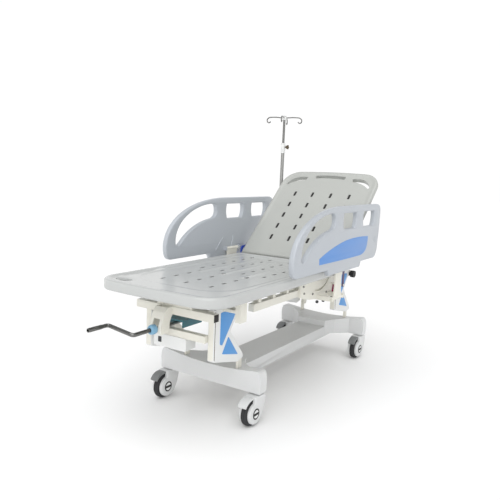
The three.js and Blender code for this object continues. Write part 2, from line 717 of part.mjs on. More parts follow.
function railLink(side) {
  const y = side * LINK_Y;
  const web = new THREE.Shape();
  web.moveTo(LINK_X[0] + 8, LINK_LOW_Z);
  web.lineTo(LINK_X[1] - 6, LINK_LOW_Z);
  web.quadraticCurveTo(LINK_X[1] - 34, 600, LINK_X[1], LINK_TOP_Z);
  web.lineTo(LINK_X[0], LINK_TOP_Z);
  web.quadraticCurveTo(LINK_X[0] + 40, 600, LINK_X[0] + 8, LINK_LOW_Z);
  const parts = [plateXZ(web, y - 5, y + 5)];
  for (const z of [LINK_LOW_Z, LINK_TOP_Z]) {
    parts.push(rod([LINK_X[0], y, z], [LINK_X[1], y, z], 9));
    parts.push(rod([LUG_X[0][0], y, z], [LUG_X[1][1], y, z], 6));
  }
  return joined(parts);
}

// Plate bolted to the side tube: two ears for the link, a curved slot and the shaft of
// the backrest release lever.
const LEVER_PIVOT = { x: 216, z: 560 };

function railMount(side) {
  const plate = polygon([
    [-166, 609], [-157, 533], [-55, 508], [0, 502], [60, 492], [200, 489], [297, 474], [280, 612],
  ]);
  const arc = new THREE.Shape();
  arc.absarc(55, 702, 162, -108 * DEG, -32 * DEG, false);
  arc.absarc(55, 702, 150, -32 * DEG, -108 * DEG, true);
  const inner = TUBE_OUT_Y + GAP;
  const parts = [
    plateXZ(plate, ...span(side, inner, 277)),
    rod([LEVER_PIVOT.x, side * 272, LEVER_PIVOT.z], [LEVER_PIVOT.x, side * 352, LEVER_PIVOT.z], 5),
  ];
  for (const [x0, x1] of LUG_X) {
    parts.push(box(x0, x1, ...span(side, 272, LINK_Y + 9), LINK_LOW_Z - 12, LINK_LOW_Z + 12));
  }
  const cuts = [
    plateXZ(arc, ...span(side, 260, 280), 8),
    rod([30, side * LINK_Y, LINK_LOW_Z], [210, side * LINK_Y, LINK_LOW_Z], 6.7),
  ];
  return joined(parts).subtract(joined(cuts));
}

function railLever(side) {
  return plateXZ(polygon([[236, 556], [272, 556], [258, 506], [222, 506]]), ...span(side, 277 + GAP, 288));
}

function backrestLever(side) {
  const { x, z } = LEVER_PIVOT;
  const outline = polygon([
    [x - 10, z - 10], [x + 10, z - 10], [x + 6, 680], [x + 16, 694], [x + 78, 700],
    [x + 78, 714], [x, 708], [x - 10, 690],
  ]);
  const plate = plateXZ(outline, ...span(side, 344.5, 349.5));
  return plate.subtract(rod([x, side * 340, z], [x, side * 357, z], 5.7));
}

function addRails() {
  for (const [sideName, side] of Object.entries(SIDES)) {
    piece(`side_rail_${sideName}`, sideRail(side), MAT.rail);
    piece(`rail_link_${sideName}`, railLink(side), MAT.frame);
    piece(`rail_mount_${sideName}`, railMount(side), MAT.cover);
    piece(`rail_lever_${sideName}`, railLever(side), MAT.red);
    piece(`backrest_lever_${sideName}`, backrestLever(side), MAT.blue);
    piece(`head_bumper_${sideName}`, bumper(side), MAT.rubber);
  }
}

// ---- infusion pole ------------------------------------------------------------------
const POLE_COLLAR_Z = [1303, 1372];
const POLE_KNOB_Z = 1345;
const HOOK_Z = 1540;
const HOOK_PATH = [[8, 0], [106, 0], [122, -18], [112, -36], [96, -32]];

function poleRing(radius, bore, z0, z1) {
  const outer = rod([POLE_X, POLE_Y, z0], [POLE_X, POLE_Y, z1], radius, 20);
  return bore ? outer.subtract(rod([POLE_X, POLE_Y, z0 - 1], [POLE_X, POLE_Y, z1 + 1], bore, 20)) : outer;
}

function poleTube() {
  const tube = poleRing(11.5, 0, 524, POLE_COLLAR_Z[1] - 10).add(poleRing(15, 0, ...POLE_COLLAR_Z));
  return tube.subtract(rod([POLE_X, POLE_Y, 700], [POLE_X, POLE_Y, 1500], 8.6, 20));
}

// Socket block on an arm that is bolted to the back of the head beam and clears the buffer.
function poleSocket() {
  const pad = box(FRAME_HEAD_X + GAP, 722, 150, HEAD_BEAM_HALF, BEAM_BOTTOM, BEAM_TOP);
  const arm = box(FRAME_HEAD_X + 8, 722, 190, 250, BEAM_BOTTOM, BEAM_TOP);
  const block = box(676, 724, 245, 384, 516, 586);
  const bore = rod([POLE_X, POLE_Y, 523], [POLE_X, POLE_Y, 600], 12.2, 20);
  return joined([pad, arm, block]).subtract(bore);
}

function poleRodWithHooks() {
  const hub = rod([POLE_X, POLE_Y, HOOK_Z - 14], [POLE_X, POLE_Y, HOOK_Z + 14], 15, 16);
  const parts = [hub, rod([POLE_X, POLE_Y, 880], [POLE_X, POLE_Y, HOOK_Z], 8, 20)];
  for (let i = 0; i < 4; i += 1) {
    const turn = (20 + 90 * i) * DEG;
    const at = (reach, z) => [
      POLE_X + reach * Math.cos(turn),
      POLE_Y + reach * Math.sin(turn),
      HOOK_Z + z,
    ];
    for (let k = 1; k < HOOK_PATH.length; k += 1) {
      parts.push(rod(at(...HOOK_PATH[k - 1]), at(...HOOK_PATH[k]), 3.5, 6));
    }
  }
  return joined(parts);
}

function poleKnob() {
  const z = POLE_KNOB_Z;
  const stem = rod([POLE_X, POLE_Y - 15.5, z], [POLE_X, POLE_Y - 28, z], 5, 12);
  return stem.add(rod([POLE_X, POLE_Y - 27, z], [POLE_X, POLE_Y - 40, z], 13, 12));
}

function addPole() {
  piece('iv_socket', poleSocket(), MAT.cover);
  piece('iv_tube', poleTube(), MAT.steel);
  piece('iv_rod', poleRodWithHooks(), MAT.steel);
  piece('iv_knob', poleKnob(), MAT.rubber);
  piece('spare_socket', socketBlock(), MAT.cover);
}

addBase();
addCastors();
addFrame();
addDecks();
addCrank();
addRails();
addPole();

export default trolley;
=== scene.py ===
"""Looks of the patient stretcher trolley: smooth moulded covers, trim and materials.

Every length below is in millimetres in the part's design frame. P() turns it into the
row frame in metres. Pieces ride on the CAD bodies, and stand for CAD nodes where named.
"""
import math

import bmesh
import bpy
from mathutils import Matrix, Vector


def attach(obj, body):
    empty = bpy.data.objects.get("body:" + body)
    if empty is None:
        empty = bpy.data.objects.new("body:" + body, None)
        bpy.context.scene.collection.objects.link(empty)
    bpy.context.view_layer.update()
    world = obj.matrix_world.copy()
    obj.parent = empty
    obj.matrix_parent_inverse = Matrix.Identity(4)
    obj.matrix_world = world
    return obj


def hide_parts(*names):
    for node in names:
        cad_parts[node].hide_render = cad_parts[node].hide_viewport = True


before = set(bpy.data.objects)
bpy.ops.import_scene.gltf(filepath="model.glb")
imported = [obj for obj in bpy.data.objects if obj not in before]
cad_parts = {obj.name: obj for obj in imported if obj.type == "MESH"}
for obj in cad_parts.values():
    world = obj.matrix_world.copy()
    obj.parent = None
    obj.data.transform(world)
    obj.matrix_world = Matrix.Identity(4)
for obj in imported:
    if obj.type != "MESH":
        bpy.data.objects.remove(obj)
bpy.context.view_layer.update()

# ---- the part's driving dimensions ------------------------------------------------------
SHIFT_X = -90
SIDES = {"near": -1, "far": 1}
ENDS = {"foot": -537, "head": 717}
DECK = {"foot": -980, "head": 184, "half": 342, "corner": 110, "bow": 14}
BACK = {"low": 12, "high": 770, "half": 338, "corner": 105, "bow": 14}
HINGE = (200, 0, 655)
BACK_TURN = math.radians(43)
RAIL_Y = (366, 394)
RAIL_X = (-470, 612)
LINK_Y = 356
COLUMN_Y = (164, 198)
COLUMN_START = {"foot": -791, "head": 463}
WHEEL_R = 62.5
TRAIL = 45
SWIVEL_Y = 267
HUB_FACE = 33
CRANK_AXIS = (40, 473)
POLE = (700, 362)
HOOK_Z = 1540
KNOB_Z = 1345
SLOT_GAP = 0.3


def P(x, y, z):
    """A point of the design frame, in the row frame."""
    return Vector(((x + SHIFT_X) / 1000, y / 1000, z / 1000))


# ---- materials --------------------------------------------------------------------------
def linear(*rgb):
    """Linear colour from display values out of 255."""
    scaled = [v / 255 for v in rgb]
    return [v / 12.92 if v <= 0.04045 else ((v + 0.055) / 1.055) ** 2.4 for v in scaled]


CLOUD_SCALE = 7
GLOSS_SWING = 0.07
RELIEF_DEPTH = 0.0004


def surface(name, rgb, rough, metal=0.0, mottle=0.03, grain=700, relief=0.1, stretch=(1, 1, 1),
            coat=0.0):
    """Cloudy colour, uneven gloss and a fine surface grain, all from noise in the object's space."""
    mat = bpy.data.materials.new(name)
    mat.use_nodes = True
    nodes = mat.node_tree.nodes
    links = mat.node_tree.links
    shader = nodes["Principled BSDF"]
    shader.inputs["Metallic"].default_value = metal
    shader.inputs["Coat Weight"].default_value = coat
    shader.inputs["Coat Roughness"].default_value = 0.12
    coords = nodes.new("ShaderNodeTexCoord")
    cloud = nodes.new("ShaderNodeTexNoise")
    cloud.inputs["Scale"].default_value = CLOUD_SCALE
    cloud.inputs["Detail"].default_value = 6
    links.new(coords.outputs["Object"], cloud.inputs["Vector"])
    tint = nodes.new("ShaderNodeMix")
    tint.data_type = "RGBA"
    base = linear(*rgb)
    tint.inputs["A"].default_value = [v * (1 - mottle) for v in base] + [1]
    tint.inputs["B"].default_value = [min(1, v * (1 + mottle)) for v in base] + [1]
    links.new(cloud.outputs["Fac"], tint.inputs["Factor"])
    links.new(tint.outputs["Result"], shader.inputs["Base Color"])
    mapping = nodes.new("ShaderNodeMapping")
    mapping.inputs["Scale"].default_value = stretch
    links.new(coords.outputs["Object"], mapping.inputs["Vector"])
    fine = nodes.new("ShaderNodeTexNoise")
    fine.inputs["Scale"].default_value = grain
    fine.inputs["Detail"].default_value = 3
    links.new(mapping.outputs["Vector"], fine.inputs["Vector"])
    gloss = nodes.new("ShaderNodeMapRange")
    gloss.inputs["To Min"].default_value = max(0.03, rough - GLOSS_SWING)
    gloss.inputs["To Max"].default_value = rough + GLOSS_SWING
    links.new(cloud.outputs["Fac"], gloss.inputs["Value"])
    links.new(gloss.outputs["Result"], shader.inputs["Roughness"])
    bump = nodes.new("ShaderNodeBump")
    bump.inputs["Strength"].default_value = relief
    bump.inputs["Distance"].default_value = RELIEF_DEPTH
    links.new(fine.outputs["Fac"], bump.inputs["Height"])
    links.new(bump.outputs["Normal"], shader.inputs["Normal"])
    return mat


MAT = {
    "deck": surface("deck_abs", (188, 190, 189), 0.24, mottle=0.02, coat=0.2),
    "back": surface("backrest_abs", (174, 176, 172), 0.34, mottle=0.02, relief=0.15),
    "rail": surface("rail_abs", (179, 184, 190), 0.32, mottle=0.02, relief=0.2),
    "cover": surface("cover_abs", (226, 227, 226), 0.4, mottle=0.02, relief=0.2),
    "base": surface("base_abs", (212, 213, 213), 0.42, mottle=0.025, relief=0.2),
    "cream": surface("cream_paint", (226, 224, 214), 0.42, mottle=0.03, grain=260, relief=0.12),
    "steel": surface("brushed_steel", (150, 150, 148), 0.3, metal=1.0, grain=120, relief=0.02,
                     stretch=(6, 6, 0.3)),
    "chrome": surface("dark_chrome", (120, 120, 118), 0.2, metal=1.0, mottle=0.08, grain=120,
                      relief=0.03, stretch=(0.3, 6, 6)),
    "zinc": surface("zinc_plate", (150, 150, 146), 0.4, metal=0.9, mottle=0.1, grain=500, relief=0.2),
    "tyre": surface("tyre_rubber", (46, 46, 48), 0.75, mottle=0.1, grain=900, relief=0.4),
    "black": surface("black_rubber", (26, 25, 25), 0.6, mottle=0.1, grain=900, relief=0.3),
    # painted shade: the castor hoods' own light plastic, darkened for the shade that falls on the hoods away
    # from the near foot corner
    "pedal": surface("pedal_plastic_painted_shade", (120, 122, 122), 0.45, mottle=0.05, relief=0.3),
    "blue": surface("inset_blue", (88, 140, 206), 0.35, mottle=0.025, relief=0.15),
    "panel_blue": surface("column_blue", (80, 148, 212), 0.35, mottle=0.025, relief=0.15),
    "lever_blue": surface("lever_blue", (48, 78, 180), 0.35, mottle=0.05, relief=0.2),
    "lever_red": surface("lever_red", (150, 34, 84), 0.35, mottle=0.05, relief=0.2),
    "teal": surface("teal_cover", (62, 118, 130), 0.45, mottle=0.08, relief=0.2),
    "boot": surface("boot_rubber", (120, 168, 198), 0.3, mottle=0.12, grain=300, relief=0.3, coat=0.2),
    "purple": surface("lever_purple", (84, 70, 104), 0.4, mottle=0.05, relief=0.2),
    "bronze": surface("bronze_knob", (96, 84, 66), 0.35, metal=0.7, mottle=0.1, relief=0.2),
    "seam": surface("shadow_gap", (60, 62, 66), 0.6, mottle=0.1, relief=0.2),
}


# ---- mesh helpers -----------------------------------------------------------------------
def finish_mesh(name, bm, mat, angle=35):
    """Turns a bmesh into a smooth-shaded object, sharp where faces meet past the angle."""
    bmesh.ops.remove_doubles(bm, verts=bm.verts, dist=1e-6)
    bmesh.ops.recalc_face_normals(bm, faces=bm.faces)
    mesh = bpy.data.meshes.new(name)
    bm.to_mesh(mesh)
    bm.free()
    mesh.shade_smooth()
    mesh.set_sharp_from_angle(angle=math.radians(angle))
    mesh.materials.append(MAT[mat])
    obj = bpy.data.objects.new(name, mesh)
    bpy.context.scene.collection.objects.link(obj)
    return obj


def add_mesh(bm, verts, faces):
    made = [bm.verts.new(v) for v in verts]
    for face in faces:
        bm.faces.new([made[i] for i in face])


def settle(obj):
    """Bakes an object's modifiers into its mesh."""
    depsgraph = bpy.context.evaluated_depsgraph_get()
    mesh = bpy.data.meshes.new_from_object(obj.evaluated_get(depsgraph))
    obj.modifiers.clear()
    obj.data = mesh
    return obj


def joined(name, objects, mat=None):
    """One object from several; the first keeps its material unless one is named."""
    bm = bmesh.new()
    keep = objects[0].data.materials[0]
    for obj in objects:
        part = obj.data.copy()
        part.transform(obj.matrix_world)
        bm.from_mesh(part)
        bpy.data.meshes.remove(part)
        bpy.data.objects.remove(obj)
    for face in bm.faces:
        face.material_index = 0
    mesh = bpy.data.meshes.new(name)
    bm.to_mesh(mesh)
    bm.free()
    mesh.set_sharp_from_angle(angle=math.radians(35))
    mesh.materials.append(MAT[mat] if mat else keep)
    obj = bpy.data.objects.new(name, mesh)
    bpy.context.scene.collection.objects.link(obj)
    return obj


def cut(obj, tools):
    """Takes the tools out of obj and deletes them."""
    for tool in tools:
        mod = obj.modifiers.new("cut", "BOOLEAN")
        mod.operation = "DIFFERENCE"
        mod.solver = "EXACT"
        mod.object = tool
    settle(obj)
    for tool in tools:
        bpy.data.objects.remove(tool)
    obj.data.set_sharp_from_angle(angle=math.radians(35))
    return obj


def ride(obj, body, stands_for=()):
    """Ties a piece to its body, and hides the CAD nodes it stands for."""
    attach(obj, body)
    if stands_for:
        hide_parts(*stands_for)
    return obj


# ---- outlines ---------------------------------------------------------------------------
def trace(start, *steps, count=14):
    """Points of a closed outline. A step is a point, or a control point and an end."""
    points = [start]
    for step in steps:
        if len(step) == 2:
            points.append(step)
            continue
        a = points[-1]
        if len(step) == 4:
            cx, cy, ex, ey = step
            for i in range(1, count + 1):
                t = i / count
                s = 1 - t
                points.append((
                    s * s * a[0] + 2 * s * t * cx + t * t * ex,
                    s * s * a[1] + 2 * s * t * cy + t * t * ey,
                ))
        else:
            bx, by, cx, cy, ex, ey = step
            for i in range(1, 2 * count + 1):
                t = i / (2 * count)
                s = 1 - t
                w = (s ** 3, 3 * s * s * t, 3 * s * t * t, t ** 3)
                points.append((
                    w[0] * a[0] + w[1] * bx + w[2] * cx + w[3] * ex,
                    w[0] * a[1] + w[1] * by + w[2] * cy + w[3] * ey,
                ))
    if math.dist(points[0], points[-1]) < 0.01:
        points.pop()
    return points


def arc(cx, cy, radius, start, end, count=24):
    angles = [math.radians(start + (end - start) * i / count) for i in range(count + 1)]
    return [(cx + radius * math.cos(a), cy + radius * math.sin(a)) for a in angles]


def soften(points, radius, count=5):
    """The same outline with each corner turned into a small curve."""
    out = []
    total = len(points)
    for i, here in enumerate(points):
        before, after = points[i - 1], points[(i + 1) % total]
        near = min(radius, 0.45 * math.dist(here, before))
        far = min(radius, 0.45 * math.dist(here, after))
        a = [here[k] + (before[k] - here[k]) * near / math.dist(here, before) for k in (0, 1)]
        b = [here[k] + (after[k] - here[k]) * far / math.dist(here, after) for k in (0, 1)]
        for j in range(count + 1):
            t = j / count
            out.append(tuple((1 - t) ** 2 * a[k] + 2 * t * (1 - t) * here[k] + t * t * b[k] for k in (0, 1)))
    return out


def area(points):
    return sum(a[0] * b[1] - b[0] * a[1] for a, b in zip(points, points[1:] + points[:1])) / 2


PLANES = {
    "XZ": lambda a, b, t: P(a, t, b),
    "XY": lambda a, b, t: P(a, b, t),
    "YZ": lambda a, b, t: P(t, a, b),
}


def plate(name, loops, plane, low, high, rounding, mat):
    """A flat plate with rounded edges: outer loop first, then its holes."""
    curve = bpy.data.curves.new(name, "CURVE")
    curve.dimensions = "2D"
    curve.fill_mode = "BOTH"
    for i, loop in enumerate(loops):
        turned = loop if (area(loop) > 0) == (i == 0) else loop[::-1]
        spline = curve.splines.new("POLY")
        spline.points.add(len(turned) - 1)
        for point, (a, b) in zip(spline.points, turned):
            point.co = (a, b, 0, 1)
        spline.use_cyclic_u = True
    curve.extrude = (high - low) / 2 - rounding
    curve.bevel_depth = rounding
    curve.bevel_resolution = 2
    curve.offset = -rounding
    source = bpy.data.objects.new(name, curve)
    bpy.context.scene.collection.objects.link(source)
    depsgraph = bpy.context.evaluated_depsgraph_get()
    flat = bpy.data.meshes.new_from_object(source.evaluated_get(depsgraph))
    bpy.data.objects.remove(source)
    bm = bmesh.new()
    bm.from_mesh(flat)
    bpy.data.meshes.remove(flat)
    middle = (low + high) / 2
    for vert in bm.verts:
        vert.co = PLANES[plane](vert.co.x, vert.co.y, middle + vert.co.z)
    bmesh.ops.remove_doubles(bm, verts=bm.verts, dist=2e-5)
    return finish_mesh(name, bm, mat, 40)


def block(name, x, y, z, rounding, mat):
    """A box with rounded edges."""
    bm = bmesh.new()
    bmesh.ops.create_cube(bm, size=1)
    low, high = P(x[0], y[0], z[0]), P(x[1], y[1], z[1])
    for vert in bm.verts:
        vert.co = Vector([low[k] + (vert.co[k] + 0.5) * (high[k] - low[k]) for k in range(3)])
    bmesh.ops.bevel(bm, geom=bm.edges[:], offset=rounding / 1000, segments=3, profile=0.5, affect="EDGES")
    return finish_mesh(name, bm, mat, 50)


def lathe(name, profile, origin, axis, mat, count=48):
    """A profile of (along, radius) turned round an axis through origin."""
    axis = Vector(axis).normalized()
    side = axis.orthogonal().normalized()
    third = axis.cross(side)
    verts, faces = [], []
    for along, radius in profile:
        for i in range(count):
            turn = 2 * math.pi * i / count
            out = side * math.cos(turn) + third * math.sin(turn)
            verts.append(origin + (axis * along + out * radius) / 1000)
    rows = len(profile)
    for r in range(rows - 1):
        for i in range(count):
            j = (i + 1) % count
            faces.append((r * count + i, r * count + j, (r + 1) * count + j, (r + 1) * count + i))
    bm = bmesh.new()
    add_mesh(bm, verts, faces)
    bmesh.ops.remove_doubles(bm, verts=bm.verts, dist=1e-6)
    bmesh.ops.holes_fill(bm, edges=[e for e in bm.edges if e.is_boundary])
    return finish_mesh(name, bm, mat, 35)


def bar_profile(low, high, radius):
    """A plain round bar from low to high along its axis, closed at both ends."""
    return [(low, 0.01), (low, radius), (high, radius), (high, 0.01)]


def tube(name, points, radius, mat, bend=12, sides=16):
    """A round bar along corner points, with its corners bent to a radius."""
    path = [Vector(points[0])]
    for before, here, after in zip(points, points[1:], points[2:]):
        a, b, c = Vector(before), Vector(here), Vector(after)
        reach = min(bend, 0.45 * (b - a).length, 0.45 * (c - b).length)
        start = b + (a - b).normalized() * reach
        end = b + (c - b).normalized() * reach
        for i in range(7):
            t = i / 6
            path.append((1 - t) ** 2 * start + 2 * t * (1 - t) * b + t * t * end)
    path.append(Vector(points[-1]))
    bm = bmesh.new()
    rings = []
    tangent = (path[1] - path[0]).normalized()
    normal = tangent.orthogonal().normalized()
    for i, point in enumerate(path):
        ahead = path[min(i + 1, len(path) - 1)] - path[max(i - 1, 0)]
        turn = tangent.rotation_difference(ahead.normalized())
        normal = turn @ normal
        tangent = ahead.normalized()
        third = tangent.cross(normal)
        ring = []
        for k in range(sides):
            angle = 2 * math.pi * k / sides
            at = point + (normal * math.cos(angle) + third * math.sin(angle)) * radius
            ring.append(bm.verts.new(P(*at)))
        rings.append(ring)
    for a, b in zip(rings, rings[1:]):
        for k in range(sides):
            bm.faces.new((a[k], a[(k + 1) % sides], b[(k + 1) % sides], b[k]))
    for ring in (rings[0], rings[-1]):
        bm.faces.new(ring)
    return finish_mesh(name, bm, mat, 40)


def bolt(name, at, axis, radius, mat="zinc"):
    """A hexagon head on a washer, facing along axis."""
    ring = [(0, radius * 1.35), (1.2, radius * 1.35), (1.6, radius * 1.2), (1.6, 0.01)]
    washer = lathe(name + "_washer", ring, P(*at), axis, mat, 24)
    dome = [(1.2, radius), (radius * 0.9, radius), (radius * 1.1, radius * 0.75), (radius * 1.1, 0.01)]
    head = lathe(name + "_head", dome, P(*at), axis, mat, 6)
    return joined(name, [washer, head])


# ---- moulded panels ---------------------------------------------------------------------
def spread(low, high, fine, coarse):
    """Stations from low to high, close together at both ends."""
    edge = [0, 0.7, 1.6, 3, 4.8, 7, 10, 14, 18, 22, 27, 33, 40, 48, 57, 66]
    inner = max(2, int((high - low - 2 * edge[-1]) / coarse))
    stations = [low + e * fine for e in edge]
    stop = high - edge[-1] * fine
    start = stations[-1]
    stations += [start + (stop - start) * i / inner for i in range(1, inner)]
    stations += [high - e * fine for e in reversed(edge)]
    return stations


def half_width(shape, x, inset):
    """How far the panel reaches from its centre line at x; the round end is the 'round' one."""
    half = shape["half"] - inset
    corner = max(4, shape["corner"] - inset)
    end = shape["round"] + inset * shape["inward"]
    run = (x - end) * shape["inward"]
    if run >= corner:
        return half
    run = max(0, run)
    return half - corner + math.sqrt(max(0, corner ** 2 - (corner - run) ** 2))


def edge_distance(shape, x, y, square_end):
    """Distance in from the panel's outline, ignoring the slight bow of its round end."""
    half, corner = shape["half"], shape["corner"]
    run = (x - shape["round"]) * shape["inward"]
    side = half - abs(y)
    if run < corner and side < corner:
        return corner - math.hypot(corner - run, corner - side)
    return min(run, side, (square_end - x) * shape["inward"])


def perimeter(rows):
    """The outside of a grid of rows, once round."""
    low_side = [row[0] for row in rows[-2:0:-1]]
    high_side = [row[-1] for row in rows[1:-1]]
    return rows[0] + high_side + rows[-1][::-1] + low_side


def moulded_panel(name, shape, square_end, top, under_z, skirt, wall, mat):
    """A shell with a sculpted upper face top(x, y, d), an outer skirt and a flat underside."""
    def grid(inset, height):
        outer_low, outer_high = sorted((shape["round"], square_end))
        shrink = (outer_high - outer_low - 2 * inset) / (outer_high - outer_low)
        rows = []
        for station in spread(outer_low, outer_high, 1, 9):
            x = outer_low + inset + (station - outer_low) * shrink
            w = half_width(shape, x, inset)
            row = []
            for v in spread(-shape["half"], shape["half"], 1, 9):
                y = v * w / shape["half"]
                reach = 1 - min(1, abs(x - shape["round"]) / 160)
                bow = -shape["inward"] * shape["bow"] * (1 - (y / shape["half"]) ** 2) * reach ** 2
                row.append((x + bow, y, height(x, y)))
            rows.append(row)
        return rows

    upper = grid(0, lambda x, y: top(x, y, max(0, edge_distance(shape, x, y, square_end))))
    lower = grid(wall, lambda x, y: under_z)
    bm = bmesh.new()
    sheets = []
    for rows, flip in ((upper, False), (lower, True)):
        verts = [[bm.verts.new(shape["place"](*p)) for p in row] for row in rows]
        for a, b in zip(verts, verts[1:]):
            for k in range(len(a) - 1):
                quad = (a[k], a[k + 1], b[k + 1], b[k])
                bm.faces.new(quad[::-1] if flip else quad)
        sheets.append(verts)

    outer, inner = perimeter(upper), perimeter(lower)
    loops = [perimeter(sheets[0])]
    for share, z in skirt:
        ring = []
        for o, i in zip(outer, inner):
            x = o[0] + (i[0] - o[0]) * share
            y = o[1] + (i[1] - o[1]) * share
            ring.append(bm.verts.new(shape["place"](x, y, z)))
        loops.append(ring)
    loops.append(perimeter(sheets[1]))
    for a, b in zip(loops, loops[1:]):
        for k in range(len(a)):
            n = (k + 1) % len(a)
            bm.faces.new((a[k], a[n], b[n], b[k]))
    return finish_mesh(name, bm, mat, 60)


def smooth_step(low, high, value):
    """0 below low, 1 above high, and a smooth rise between them."""
    t = min(1, max(0, (value - low) / (high - low)))
    return t * t * (3 - 2 * t)


def oblong(x, y, length, width):
    """A slot outline with round corners, in plan."""
    a, b = length / 2, width / 2
    corners = [(x - a, y - b), (x + a, y - b), (x + a, y + b), (x - a, y + b)]
    return soften(corners, width * 0.4, 4)


def prism(loop, place, low, high):
    """A straight-sided solid between two heights, in a panel's own frame."""
    bm = bmesh.new()
    bottom = [bm.verts.new(place(x, y, low)) for x, y in loop]
    top = [bm.verts.new(place(x, y, high)) for x, y in loop]
    bm.faces.new(bottom[::-1])
    bm.faces.new(top)
    for k in range(len(loop)):
        n = (k + 1) % len(loop)
        bm.faces.new((bottom[k], bottom[n], top[n], top[k]))
    return finish_mesh("tool", bm, "seam")


def cutters(loops, place, low, high):
    """One cutting tool with a prism for each loop."""
    return [joined("tool", [prism(loop, place, low, high) for loop in loops])]


def dark_slot_plugs(name, slots, size, place, low, high, body):
    """Dark plugs set a little below the face in every slot of a panel: black liners in the backrest, painted
    shade in the leg deck's open slots.
    """
    length, width = (side - 2 * SLOT_GAP for side in size)
    plugs = [prism(oblong(x, y, length, width), place, low, high) for x, y in slots]
    ride(joined(name, plugs, "black"), body)


def ellipse(x, y, rx, ry, count=40):
    turns = [2 * math.pi * i / count for i in range(count)]
    return [(x + rx * math.cos(a), y + ry * math.sin(a)) for a in turns]


RIBS = [(y, -470, 40) for y in (-126, 0, 126)]
HANDLE = {"x": -895, "y": 240, "rx": 26, "ry": 46}
LEG_SLOT = (33, 13)
LEG_SLOTS = [(-745 + 95 * i, y) for i in range(4) for y in (-140, 0, 140)]
LEG_SLOTS += [(-380 + 95 * i, y) for i in range(6) for y in (-190, -64, 64, 190)]
LEVER_NOTCH = [(160, -9), (190, -9), (190, 9), (160, 9)]
BACK_SLOT = (42, 16)
BACK_SLOTS = [(160 + 97 * i, y) for i in range(5) for y in (-190, -64, 64, 190)]


def leg_height(x, y, d):
    """Height of the leg deck: round rim, sloping border, a shallow field and long flutes."""
    edge = 662 + 10 * math.sqrt(max(0, 1 - (1 - min(1, d / 11)) ** 2))
    z = edge - 5.5 * smooth_step(15, 40, d)
    corner = math.hypot(max(0, -690 - x), max(0, abs(y) - 110))
    field = min(d - 62, 165 - corner)
    z -= 3.6 * smooth_step(0, 9, field)
    for rib_y, start, stop in RIBS:
        along = max(start - x, x - stop, 0)
        z += 3.2 * (1 - smooth_step(8, 16, math.hypot(along, y - rib_y)))
    bowl = math.hypot((x - HANDLE["x"]) / (HANDLE["rx"] + 12), (y - HANDLE["y"]) / (HANDLE["ry"] + 14))
    z -= 2.4 * (1 - smooth_step(0.8, 1.1, bowl))
    for side in SIDES.values():
        scoop = math.hypot((x + 730) / 120, (y - side * 303) / 13)
        z -= 2.8 * (1 - smooth_step(0.75, 1.05, scoop))
    return z


def leg_panel():
    shape = dict(DECK, round=DECK["foot"], inward=1, place=P)
    skirt = [(0, 640), (0, 632), (0.12, 628), (0.35, 626), (1, 626.4), (1, 640)]
    panel = moulded_panel("leg_deck", shape, DECK["head"], leg_height, 654, skirt, 12, "deck")
    loops = [oblong(x, y, *LEG_SLOT) for x, y in LEG_SLOTS]
    loops.append(ellipse(HANDLE["x"], HANDLE["y"], HANDLE["rx"], HANDLE["ry"]))
    cut(panel, cutters(loops, P, 600, 700) + [prism(LEVER_NOTCH, P, 600, 662)])
    ride(panel, "upper_frame", ["leg_panel"])
    # Painted shade: the leg deck's slots are open, and these dark plugs stand for the shade down in them.
    dark_slot_plugs("leg_slot_painted_shade", LEG_SLOTS, LEG_SLOT, P, 650, 661, "upper_frame")


def on_back(u, y, w):
    """A point on the raised backrest: u along it from the hinge, w out of its face."""
    x = HINGE[0] + u * math.cos(BACK_TURN) - w * math.sin(BACK_TURN)
    z = HINGE[2] + u * math.sin(BACK_TURN) + w * math.cos(BACK_TURN)
    return P(x, y, z)


def back_height(u, y, d):
    """Height of the backrest: a round rim that drops a little to a flat field."""
    edge = 7 + 10 * math.sqrt(max(0, 1 - (1 - min(1, d / 12)) ** 2))
    return edge - 2.2 * smooth_step(16, 34, d)


def back_handle_loops():
    centre = trace((700, -104), (726, -108), (740, 0, 726, 108), (700, 104), (712, 0, 700, -104))
    loops = [soften(centre, 6, 3)]
    for side in SIDES.values():
        loops.append(trace(
            (708, side * 160), (726, side * 262, 640, side * 292), (626, side * 294, 632, side * 280),
            (676, side * 236, 682, side * 166),
        ))
    return loops


def backrest_panel():
    shape = dict(BACK, round=BACK["high"] - BACK["bow"], inward=-1, place=on_back)
    skirt = [(0, 4), (0, -4), (0.3, -9), (0.7, -12), (1, -13)]
    panel = moulded_panel("backrest_deck", shape, BACK["low"], back_height, -13, skirt, 8, "back")
    loops = [oblong(u, y, *BACK_SLOT) for u, y in BACK_SLOTS]
    cut(panel, cutters(loops + back_handle_loops(), on_back, -40, 40))
    ride(panel, "backrest", ["backrest_panel"])
    dark_slot_plugs("backrest_slot_liners", BACK_SLOTS, BACK_SLOT, on_back, -12, 12.8, "backrest")


# ---- side rails -------------------------------------------------------------------------
def rail_outline():
    foot, head = RAIL_X
    return trace(
        (foot + 45, 686), (-96, 686), (-78, 656), (330, 656), (344, 686), (540, 686),
        (575, 690, 592, 736), (head, 866, head, 965), (head - 4, 1010, head - 62, 1010), (60, 1010),
        (-210, 1010, foot + 18, 925, foot, 770), (foot - 4, 686, foot + 45, 686),
    )


def rail_holes():
    crescent = trace(
        (-392, 775), (-400, 900, -220, 975, -70, 976), (-30, 976, -32, 930), (-34, 898, -80, 890),
        (-250, 868, -352, 768), (-386, 742, -392, 775),
    )
    holes = [crescent]
    for x0, x1 in ((65, 245), (340, 515)):
        window = trace((x0 + 12, 886), (x1 - 14, 886), (x1 + 12, 930, x1 - 6, 972), (x0 + 6, 972),
                       (x0 - 8, 930, x0 + 12, 886))
        holes.append(window)
    return holes


